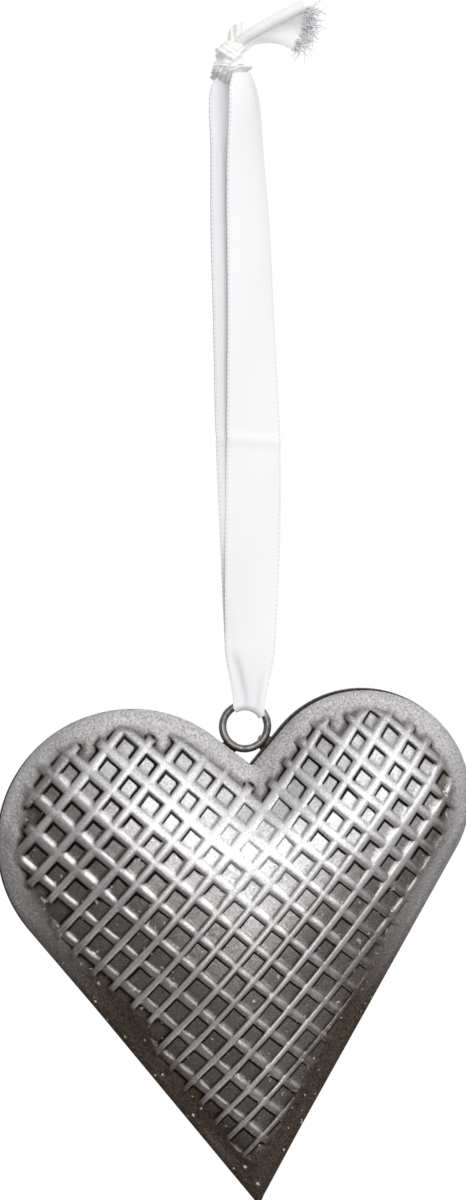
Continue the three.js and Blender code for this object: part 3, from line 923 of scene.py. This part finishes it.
def iron_finish(name, rough, crest_rough):
    """Dull speckled iron: a painted highlight on the crown, brown with painted shade to the tip, worn on the
    ribs, painted shade at their feet, painted highlights on tabs and specks.
    """
    material, tree, shader = material_nodes(name)
    crest, tab, crease, lower_edge_shade, groove = point_masks(tree, "crest", "tab", "crease", "lower_edge_shade", "groove")
    crown, patina_and_shade = point_masks(tree, "crown", "patina_and_shade")
    grain = noise(tree, scale=2600, detail=3, roughness=0.7)
    blotch = noise(tree, scale=260, detail=4, roughness=0.65)
    speck = noise(tree, scale=950, detail=1)
    rim = ramp(grain, (0.3, (0.23, 0.218, 0.211)), (0.68, (0.5, 0.496, 0.506)))
    crown_highlight_tone = ramp(grain, (0.3, (0.5, 0.488, 0.48)), (0.68, (0.86, 0.856, 0.866)))
    brown = ramp(grain, (0.3, (0.026, 0.019, 0.0132)), (0.72, (0.165, 0.132, 0.106)))
    polish_and_highlight = ramp(grain, (0.3, (0.78, 0.768, 0.78)), (0.65, (0.98, 0.976, 0.99)))
    pitted = ramp(grain, (0.25, rough + pit_rough), (0.75, rough - pit_smooth))
    crisp = ramp(crease, (0.3, 0), (0.58, 1))
    # Painted glints: sparse bright specks in the brown
    painted_glints = ramp(speck, (0.7, 0), (0.76, 0.8))
    clouded = mixed(product(blotch, cloud_share), rim, cloud_tone)
    # Painted highlight on the crown, then brown patina with painted shade towards the tip
    browned = mixed(patina_and_shade, mixed(crown, clouded, crown_highlight_tone), brown)
    # Dirt and painted shade in the groove
    sunk = mixed(product(groove, groove_share), browned, groove_tone)
    # Painted shade under the lower edges of the cells
    lower_edge_shaded = mixed(product(lower_edge_shade, lower_edge_shade_share), sunk, lower_edge_shade_tone)
    # Painted shade in the dark lines at the feet of the ribs
    lined = mixed(product(crisp, scaled(blotch, *line_share)), lower_edge_shaded, line_tone)
    bared = product(crest, scaled(patina_and_shade, *bare_share))
    # Worn crests, and painted highlights on the tabs and the glints, take the polished tone
    lightened = greater(greater(bared, tab), product(painted_glints, patina_and_shade))
    dress(
        shader, metallic=1,
        base_color=mixed(lightened, lined, polish_and_highlight),
        roughness=mixed(lightened, pitted, crest_rough),
        normal=bumped(grain, strength=0.6, distance=0.0001),
    )
    return material


def two_tones(value, dark, light):
    return ramp(value, (0.3, dark), (0.7, light))


def metal_finish(name, light, dark, rough, scale):
    """Drawn wire or solder: two tones of grey in fine streaks."""
    material, tree, shader = material_nodes(name)
    grain = noise(tree, scale, detail=3, roughness=0.6)
    dress(
        shader, metallic=1,
        base_color=two_tones(grain, dark, light),
        roughness=two_tones(grain, rough + pit_rough, rough),
        normal=bumped(grain, strength=0.3, distance=0.00008),
    )
    return material


def satin_finish(name, shade, twill_depth, rough, stripes):
    """White satin: fine slanting twill, dotted woven edges, painted lilac shade in the folds, under the knot
    and on the cut ends.
    """
    material, tree, shader = material_nodes(name)
    across, along, fold = point_masks(tree, "across", "along", "fold")
    slant = scaled(along, twill_slant, across)
    thread = product(wave(along, thread_step), thread_depth)
    weave = scaled(wave(slant, twill_step), twill_depth, thread)
    edge = calculated("GREATER_THAN", calculated("ABSOLUTE", across), woven_edge)
    dots = wave(along, dot_step)
    cloud = noise(tree, scale=190, detail=3)
    tone = scaled(weave, weave_share, scaled(cloud, *cloud_spread))
    plain = ramp(tone, (0.1, shade), (0.75, satin_light))
    dotted = product(edge, scaled(dots, *dot_share))
    # Painted lilac shade where the fold mask is
    fold_shaded = mixed(fold, mixed(dotted, plain, border_tone), painted_shade_tone)
    # Thin stripes of painted shade, most of them under the knot and on the right half
    near_knot = ramp(product(along, 1 / ribbon_width), (0.2, stripes), (0.75, 0))
    right_half = ramp(scaled(across, 1 / ribbon_width, 0.5), (0.45, 0.15), (0.7, 1))
    thin = calculated("POWER", scaled(wave(slant, stripe_step), *to_share), 2)
    striped = product(product(near_knot, right_half), thin)
    ribbed = scaled(edge, product(dots, dot_depth), weave)
    dress(
        shader, roughness=rough, sheen_weight=0.12, sheen_roughness=0.4,
        base_color=mixed(striped, fold_shaded, stripe_tone),
        normal=bumped(ribbed, strength=0.25, distance=0.00005),
    )
    return material


def yarn_finish(name, light, dark):
    """Dull yarn in two tones."""
    material, tree, shader = material_nodes(name)
    grain = noise(tree, scale=1500, detail=2)
    dress(shader, roughness=0.8, base_color=two_tones(grain, dark, light))
    return material


def crumpled_finish(name, light, shade):
    """Satin drawn tight and creased: painted ivory shade in fine crossing wrinkles, stripes of painted shade
    in a darker collar.
    """
    material, tree, shader = material_nodes(name)
    fold, across = point_masks(tree, "fold", "across")
    wrinkle = noise(tree, scale=620, detail=4, roughness=0.65)
    stain = ramp(noise(tree, scale=240, detail=2), (0.42, light), (0.64, shade))
    # Painted shade in the wrinkles
    creased = mixed(ramp(wrinkle, (0.34, 0.5), (0.5, 0)), stain, shade)
    # Painted shade in stripes over the knot's lower left
    collar = product(fold, scaled(wave(across, collar_step), *collar_share))
    dress(
        shader, roughness=0.5, sheen_weight=0.2,
        base_color=mixed(collar, creased, collar_tone),
        normal=bumped(wrinkle, strength=0.7, distance=0.0004),
    )
    return material


satin_light = (0.93, 0.927, 0.933)
iron = iron_finish("sheet_iron", rough=0.42, crest_rough=0.55)
# The inner faces and edges of the halves: dark oxide, and painted shade
oxide_and_shade_edge = metal_finish("oxide_and_shade_edge", (0.085, 0.076, 0.069), (0.03, 0.025, 0.021), rough=0.45, scale=1500)
wire = metal_finish("ring_wire", (0.29, 0.278, 0.266), (0.11, 0.104, 0.098), rough=0.3, scale=900)
solder = metal_finish("solder_bead", (0.4, 0.39, 0.38), (0.12, 0.115, 0.11), rough=0.34, scale=700)
# Solder of the ring painted nearly black, as painted shade between the ring and the rim
shaded_solder = metal_finish("shaded_solder", (0.1, 0.094, 0.088), (0.025, 0.022, 0.02), rough=0.4, scale=700)
satin = satin_finish("satin_face", (0.89, 0.885, 0.9), twill_depth=0.08, rough=0.42, stripes=0.75)
satin_wrong = satin_finish(
    "satin_wrong_side", (0.87, 0.865, 0.878), twill_depth=0.5, rough=0.55, stripes=0.12,
)
satin_knot = crumpled_finish("satin_knot", (0.955, 0.95, 0.947), (0.88, 0.85, 0.79))
# The loose threads are painted greyer than the satin, as painted shade among them
loose_thread = yarn_finish("loose_thread", (0.86, 0.85, 0.87), (0.58, 0.57, 0.6))

pressed_half("front_half", "front_shell", seed=3, side=1, turn=0)
pressed_half("back_half", "back_shell", seed=8, side=-1, turn=back_turn)


# Ring, solder and tacks
def wire_ring():
    """The ring in the notch, a little uneven, with the butt of its wire down by the solder."""
    clear_selection()
    bpy.ops.mesh.primitive_torus_add(
        major_segments=128, minor_segments=24, major_radius=ring_radius, minor_radius=wire_radius,
    )
    ring = named("ring")
    points = positions(ring)
    angle = np.arctan2(points[:, 1], points[:, 0])
    wobble = 1 + sum(height * np.sin(count * angle + start) for height, count, start in ring_waves)
    butt = 1 - butt_pinch * np.exp(-((angle - butt_angle) / butt_spread) ** 2)
    around = np.hypot(points[:, 0], points[:, 1])
    reach = (ring_radius + (around - ring_radius) * butt) * wobble
    x, z = polar(ring_middle, reach, angle).T
    move_points(ring, np.column_stack([x, -points[:, 2] * butt, z]) * mm)
    smooth(ring)
    finish_piece(ring, wire)
    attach(ring, "heart")
    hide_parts("hanging_ring")


def bead(name, node, finish, share, lumps, seed, inset=0.0):
    """A lump of solder where a CAD bead is, drawn to a share of its box and left uneven."""
    low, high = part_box(node)
    clear_selection()
    bpy.ops.mesh.primitive_ico_sphere_add(subdivisions=5, radius=0.5)
    lump = named(name)
    points = positions(lump)
    draw = np.random.RandomState(seed)
    swell = np.ones(len(points))
    for _ in range(bead_waves):
        way = draw.normal(size=3)
        phase = draw.uniform(*wave_starts)
        swell += lumps * np.sin(points @ way * bead_wave_turn + phase)
    middle = np.array((low + high) / 2)
    inward = np.array([0, 0, heart_middle.z]) - middle
    inward[1] = 0
    middle += inward / np.linalg.norm(inward) * inset * mm
    size = np.array(high - low) * np.array(share)
    move_points(lump, points * swell[:, None] * size + middle)
    smooth(lump)
    finish_piece(lump, finish)
    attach(lump, "heart")
    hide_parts(node)


wire_ring()
for seed, side in ((1, "left"), (2, "right")):
    bead(f"solder_{side}", f"ring_solder_{side}", shaded_solder, share=(0.95, 0.9, 0.95), lumps=0.05, seed=seed)
for order in range(tack_count):
    bead(f"tack_{order + 1}", f"rim_tack_{order + 1}", solder, share=(0.5, 0.7, 0.5), lumps=0.04,
         seed=10 + order, inset=0.45)


# Ribbon
def curve_through(rows, shares):
    """Smooth values between rows of numbers, for shares of the way from the first row to the last."""
    rows = np.asarray(rows, float)
    last = len(rows) - 1
    passed = np.clip(np.asarray(shares) * last, 0, last - 1e-9)
    order = passed.astype(int)
    share = (passed - order)[:, None]
    before, start = rows[np.maximum(order - 1, 0)], rows[order]
    end, after = rows[order + 1], rows[np.minimum(order + 2, last)]
    first = (end - before) / 2
    second = (after - start) / 2
    return (start * (2 * share ** 3 - 3 * share ** 2 + 1) + first * (share ** 3 - 2 * share ** 2 + share)
            + end * (3 * share ** 2 - 2 * share ** 3) + second * (share ** 3 - share ** 2))


def strand_points(rows, shares, across):
    """Points of a strand, level by level, in millimetres."""
    level, x, y, turn, chord, bow = curve_through(rows, shares).T[:, :, None]
    turn = np.radians(turn)
    side = across * chord * ribbon_width / 2
    drop = level * foot_drop
    ripple = ripple_height * np.sin(drop * ripple_turn + across * ripple_lag)
    ripple = ripple * smoothstep(0, ripple_full, drop)
    kink = kink_depth * np.exp(-((drop - kink_drop - across * kink_slant) / kink_spread) ** 2)
    rise = -bow * ribbon_width * (1 - across ** 2) + ripple - kink
    return np.stack([
        x * ribbon_width + side * np.cos(turn) - rise * np.sin(turn),
        y * ribbon_width + side * np.sin(turn) + rise * np.cos(turn),
        -drop + 0 * side,
    ], -1)


def cloth(name, points, along, across, outward, thickness=ribbon_thickness, fold=0.0):
    """A strip of ribbon from rows of points in millimetres, with its satin side outward at the start."""
    rows, columns = points.shape[:2]
    strip = new_grid(name, rows, columns)
    move_points(strip, points.reshape(-1, 3) * mm)
    for mask, values in (("across", across), ("along", np.asarray(along)[:, None]), ("fold", fold)):
        attribute(strip, mask, np.broadcast_to(values, (rows, columns)).ravel())
    strip.data.materials.append(satin)
    strip.data.materials.append(satin_wrong)
    if strip.data.polygons[0].normal.dot(Vector(outward)) < 0:
        strip.data.flip_normals()
    apply_modifier(strip, "SOLIDIFY", thickness=thickness * mm, offset=-1, material_offset=1)
    smooth(strip)
    return strip


def way_along(points):
    """Length along the middle of a strip, row by row."""
    middle = points[:, points.shape[1] // 2]
    return np.concatenate([[0], np.cumsum(np.linalg.norm(np.diff(middle, axis=0), axis=1))])


def ribbon_lines(count):
    """Millimetres across the ribbon, from edge to edge."""
    return np.linspace(-1, 1, count) * ribbon_width / 2


to_front = (0, -1, 0)
to_back = (0, 1, 0)
across = np.linspace(-1, 1, strand_columns + 1)
strand_lines = ribbon_lines(strand_columns + 1)
shares = np.linspace(0, 1, strand_rows + 1)
front_points = strand_points(front_rows, shares, across)
back_points = strand_points(back_rows, shares, across)
shaded = back_shade * smoothstep(*back_shade_levels, shares)[:, None]
for side, points, outward, shade in (
    ("front", front_points, to_front, 0.0), ("back", back_points, to_back, shaded),
):
    strand = cloth(f"{side}_strand", points, way_along(points), strand_lines, outward, fold=shade)
    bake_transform(strand)
    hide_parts(f"ribbon_{side}_strand")


def grooves(share):
    """The two grooves of the gathered foot, which draw together on the way down to the ring."""
    total = 0
    for side, reach, start, full, depth in foot_grooves:
        middle = side * (groove_side - groove_draw * share)
        total = total + depth * np.exp(-((across - middle) / reach) ** 2) * smoothstep(start, full, share)
    return total


def gathered_foot():
    """The foot of the loop: down in front of the wire, under it and up behind."""
    lean = fold_lean + fold_spread * across
    arc = np.stack([np.sin(lean), np.cos(lean)], -1)
    radius = wire_radius + fold_clear

    def round_wire(reach, y):
        """A row across the ribbon, some way from the ring's middle."""
        return np.column_stack([ring_middle[0] + reach * arc[:, 0], y, ring_middle[1] + reach * arc[:, 1]])

    legs = []
    shades = []
    for side, top in ((-1, front_points[-1]), (1, back_points[-1])):
        low = round_wire(ring_radius, np.full(len(across), side * radius))
        leg = []
        for share in np.linspace(0, 1, leg_rows + 1):
            draw_in = smoothstep(0, 1, share)
            row = top * (1 - draw_in) + low * draw_in
            row[:, 2] = top[:, 2] * (1 - share) + low[:, 2] * share
            row[:, 1] += side * (pleat_swell - pleat_depth * grooves(share)) * share * (1 - pleat_end * share)
            leg.append(row)
            shades.append(fold_shade * grooves(share) * smoothstep(0, fold_shade_full, share))
        legs.append(leg)
    under = []
    for wrap in np.linspace(-math.pi / 2, math.pi / 2, wrap_rows + 1)[1:-1]:
        swell = math.sin(wrap) * (1 - pleat_end) * (pleat_swell - pleat_depth * grooves(1))
        under.append(round_wire(ring_radius - radius * math.cos(wrap), radius * math.sin(wrap) + swell))
    points = np.array(legs[0] + under + legs[1][::-1])
    count = leg_rows + 1
    shade = np.array(shades[:count] + [shades[count - 1]] * len(under) + shades[count:][::-1])
    along = way_along(points)
    foot = cloth("gathered_foot", points, along + foot_drop + loop_top, strand_lines, to_front, fold=shade)
    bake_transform(foot)
    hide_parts("ribbon_front_gather", "ribbon_back_gather", "ribbon_fold")


gathered_foot()


# Knot and cut ends
def creases(points, seed, reach, count):
    """Sharp-edged wrinkles that cross one another, from 0 to 1."""
    draw = np.random.RandomState(seed)
    total = np.zeros(len(points))
    for _ in range(count):
        way = draw.normal(size=3)
        way /= np.linalg.norm(way)
        spread = draw.uniform(*crease_spreads)
        phase = draw.uniform(*wave_starts)
        total += np.abs(np.sin(points @ way * math.pi / (reach * spread) + phase))
    return total / count


def ear_points():
    """The small fold behind the rolled end: rows from the knot upwards, bent to a gutter."""
    rise = np.linspace(0, 1, ear_lines)[:, None]
    side = np.linspace(-1, 1, ear_lines)
    x = ear_foot[0] + ear_shift * rise + (ear_half_width - ear_taper * rise) * side
    ripple = ear_ripple * np.sin(side * ear_ripple_turns[0] + rise * ear_ripple_turns[1])
    y = ear_foot[1] - ear_gutter * (1 - side ** 2) * (1 - ear_opening * rise) + ripple
    z = ear_foot[2] + ear_height * rise + ear_tilt * rise * side - ear_corner * rise * side ** 4
    return np.stack([x, y, z], -1)


def knot():
    """The tight overhand knot: a creased core with turns of ribbon round it, and a small fold on top."""
    clear_selection()
    bpy.ops.mesh.primitive_ico_sphere_add(subdivisions=6, radius=1)
    core = named("knot")
    way = positions(core)
    height, middle, wide, deep = curve_through(knot_levels, (way[:, 2] + 1) / 2).T
    girth = np.sqrt(np.maximum(1 - way[:, 2] ** knot_square, 0))
    out = way[:, :2] * (girth / np.maximum(np.hypot(way[:, 0], way[:, 1]), 1e-6))[:, None]
    points = np.column_stack([middle + out[:, 0] * wide, out[:, 1] * deep, height])
    swell = crumple_rise * (creases(points, seed=4, reach=1.5, count=4) - crumple_mean)
    for slant, level, half, rise in knot_turns:
        slant = math.radians(slant)
        off = (points[:, 2] - level) * math.cos(slant) - (points[:, 0] - middle) * math.sin(slant)
        pleat = pleat_rise * np.sin(off * 2 * math.pi / pleat_step)
        swell += (rise + pleat) * smoothstep(half + turn_edge, half - turn_edge, np.abs(off))
    swell *= smoothstep(*knot_swell_levels, height)
    points[:, :2] += out * swell[:, None]
    low = smoothstep(*knot_lean_levels, points[:, 2])
    points[:, 2] += knot_lean * low * np.maximum(points[:, 0] - middle, knot_lean_least)
    move_points(core, points * mm)
    collar = smoothstep(*collar_levels, points[:, 2]) * smoothstep(*collar_across, points[:, 0])
    attribute(core, "fold", collar_shade * collar)
    attribute(core, "across", points[:, 0] - collar_slant * points[:, 2])
    smooth(core)
    ear_along = np.linspace(0, ear_span, ear_lines)
    ear = cloth("knot_tab", ear_points(), ear_along, ear_along - ear_span / 2, to_front, ear_thickness)
    take(core)
    ear.data.materials.clear()
    ear.select_set(True)
    bpy.ops.object.join()
    finish_piece(core, satin_knot)
    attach(core, "loop")
    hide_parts("ribbon_knot")


def tail_roll():
    """The upper cut end, rolled lengthwise into a slim pipe that points up and away from the knot."""
    shares = np.linspace(0, 1, roll_rows)
    middle = curve_through(roll_path, shares)
    heading = np.gradient(middle, axis=0)
    heading /= np.linalg.norm(heading, axis=1)[:, None]
    up = np.cross(to_front, heading)
    up /= np.linalg.norm(up, axis=1)[:, None]
    turns = np.linspace(0, 1, roll_columns)
    roll = roll_start + roll_sweep * turns
    radius = roll_radius + roll_flare * smoothstep(0, roll_flare_end, shares)
    radius = radius * (1 + roll_waver * np.sin(shares * roll_waver_turn))
    radius = radius[:, None] * (1 - roll_tighten * turns)
    shade = roll_shade * np.cos(roll) ** 4 + root_shade * smoothstep(root_end, 0, shares)[:, None]
    points = (middle[:, None] + up[:, None] * (radius * np.cos(roll))[..., None]
              + np.array(to_front) * (radius * np.sin(roll) * roll_flat)[..., None])
    strip = cloth("rolled_end", points, cut_start + shares * roll_length, ribbon_lines(roll_columns),
                  points[0, 0] - middle[0], cut_thickness, shade)
    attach(strip, "loop")
    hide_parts("ribbon_tail_roll")


def tail_flap():
    """The lower cut end, a flat flap with a slanting cut, creased where the roll lies on it."""
    shares = np.linspace(0, 1, flap_rows)[:, None]
    side = np.linspace(0, 1, flap_columns)
    bottom = curve_through(flap_bottom, shares[:, 0])[:, None]
    top = curve_through(flap_top, shares[:, 0])[:, None]
    points = bottom * (1 - side)[..., None] + top * side[..., None]
    ripple = flap_fold * np.sin(side * flap_fold_turns[0] + shares * flap_fold_turns[1])
    points[..., 1] += ripple * smoothstep(*flap_fold_levels, shares)
    points[..., 0] += flap_bulge * np.sin(math.pi * side) * shares ** 3
    under_roll = flap_shade * smoothstep(*flap_shade_sides, side) * (1 - flap_shade_loss * shares)
    strip = cloth("flat_end", points, cut_start + shares[:, 0] * flap_length, ribbon_lines(flap_columns),
                  to_front, cut_thickness, under_roll)
    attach(strip, "loop")
    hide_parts("ribbon_tail_flap")
    return points[-1]


def frayed_threads(edge):
    """Loose threads beyond the slanting cut, each a thin tapering tube."""
    draw = np.random.RandomState(seed=21)
    ends = []
    for order in range(thread_count):
        share = draw.uniform(0, 1) ** thread_crowd
        start = edge[round(share * (len(edge) - 1))]
        start = start + draw.normal(0, thread_scatter, 3) - thread_root
        length = draw.uniform(*thread_lengths)
        angle = math.radians(draw.uniform(*thread_angles))
        bend = draw.uniform(*thread_bends)
        clear_selection()
        bpy.ops.mesh.primitive_cylinder_add(vertices=5, radius=1, depth=1, end_fill_type="TRIFAN")
        thread = named(f"thread_{order}")
        edit_mode(True)
        bpy.ops.mesh.select_all(action="SELECT")
        bpy.ops.mesh.bisect(plane_co=(0, 0, 0), plane_no=(0, 0, 1))
        edit_mode(False)
        points = positions(thread)
        way = points[:, 2] + 0.5
        thin = thread_radius * (1 - thread_taper * way)
        turn = angle + bend * way
        reach = length * way
        sway = thread_sway * np.sin(way * thread_sway_turn + order) * way
        move_points(thread, np.column_stack([
            start[0] + reach * np.cos(turn) - points[:, 0] * thin * np.sin(turn),
            start[1] + points[:, 1] * thin + sway,
            start[2] + reach * np.sin(turn) + points[:, 0] * thin * np.cos(turn),
        ]) * mm)
        ends.append(thread)
    take(ends[0])
    for thread in ends[1:]:
        thread.select_set(True)
    bpy.ops.object.join()
    threads = named("frayed_threads")
    smooth(threads)
    finish_piece(threads, loose_thread)
    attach(threads, "loop")


knot()
tail_roll()
frayed_threads(tail_flap())


# Light, floor and camera
light_from = (0.28, -0.1, 0.95)
around_tones = [(0.2, (0.182, 0.172, 0.165)), (0.6, (0.3, 0.295, 0.296)), (0.92, (0.67, 0.665, 0.69))]
beside_tones = [(0.05, 0.22), (0.36, 0), (0.7, 0), (0.95, 0.4)]
backdrop_level = 0.9


def background_rays(tree):
    """Rays from the camera, and rays that reach the background by a mirror or through glass."""
    rays = add_node(tree, "ShaderNodeLightPath").outputs
    return rays["Is Camera Ray"], greater(rays["Is Glossy Ray"], rays["Is Transmission Ray"])


def studio():
    """White where the camera looks and where metal mirrors it, soft light from above and the right."""
    world = bpy.data.worlds.new("studio")
    bpy.context.scene.world = world
    world.use_nodes = True
    tree = world.node_tree
    direction = add_node(tree, "ShaderNodeTexCoord").outputs["Generated"]
    lean = add_node(tree, "ShaderNodeVectorMath", operation="DOT_PRODUCT")
    tree.links.new(direction, lean.inputs[0])
    lean.inputs[1].default_value = light_from
    parts = add_node(tree, "ShaderNodeSeparateXYZ")
    tree.links.new(direction, parts.inputs[0])
    around = ramp(scaled(lean.outputs["Value"], *to_share), *around_tones)
    beside = ramp(scaled(parts.outputs["X"], *to_share), *beside_tones)
    behind = ramp(parts.outputs["Y"], (0.8, 0), (0.97, 1))
    backdrop = mixed(behind, mixed(1.0, around, beside, "ADD"), backdrop_level)
    looked_at, mirrored = background_rays(tree)
    seen = greater(looked_at, product(mirrored, behind))
    dress(tree.nodes["Background"], color=mixed(seen, backdrop, 1))


def soft_light(name, place, width, height, power, roll=0.0):
    clear_selection()
    bpy.ops.object.light_add(type="AREA", location=place)
    lamp = bpy.context.object
    lamp.name = name
    lamp.data.shape = "RECTANGLE"
    lamp.data.size = width
    lamp.data.size_y = height
    lamp.data.energy = power
    lamp.rotation_euler = (heart_middle - lamp.location).to_track_quat("-Z", "Y").to_euler()
    lamp.rotation_euler.rotate_axis("Z", roll)


def pale_floor():
    """A floor far below that keeps the object's shadow and looks white."""
    clear_selection()
    bpy.ops.mesh.primitive_plane_add(size=1.0, location=(0, 0.25, -0.95))
    floor = named("floor")
    material, tree, shader = material_nodes("pale_floor")
    glow = product(greater(*background_rays(tree)), 0.3)
    dress(shader, base_color=(0.85, 0.85, 0.84), roughness=0.8, emission_color=1, emission_strength=glow)
    floor.data.materials.append(material)


studio()
soft_light("key", (0.3, -1.02, 0.41), width=1.9, height=1.5, power=10.0, roll=math.radians(10))
soft_light("near_key", (0.1, -0.8, -0.03), width=0.4, height=0.36, power=0.98)
soft_light("back_fill", (-0.35, 1.0, 0.45), width=1.6, height=1.2, power=8.0)
pale_floor()

clear_selection()
bpy.ops.object.camera_add(
    location=(
        (photo_width / 2 - hang_pixel[0]) / pixels_per_mm * mm,
        -camera_distance,
        (hang_pixel[1] - photo_height / 2) / pixels_per_mm * mm,
    ),
    rotation=(math.pi / 2, 0, 0),
)
camera = bpy.context.object
camera.data.sensor_fit = "VERTICAL"
camera.data.sensor_height = sensor_height
camera.data.lens = sensor_height * camera_distance / (photo_height / pixels_per_mm * mm)
bpy.context.scene.camera = camera
bpy.context.scene.view_settings.view_transform = "Standard"
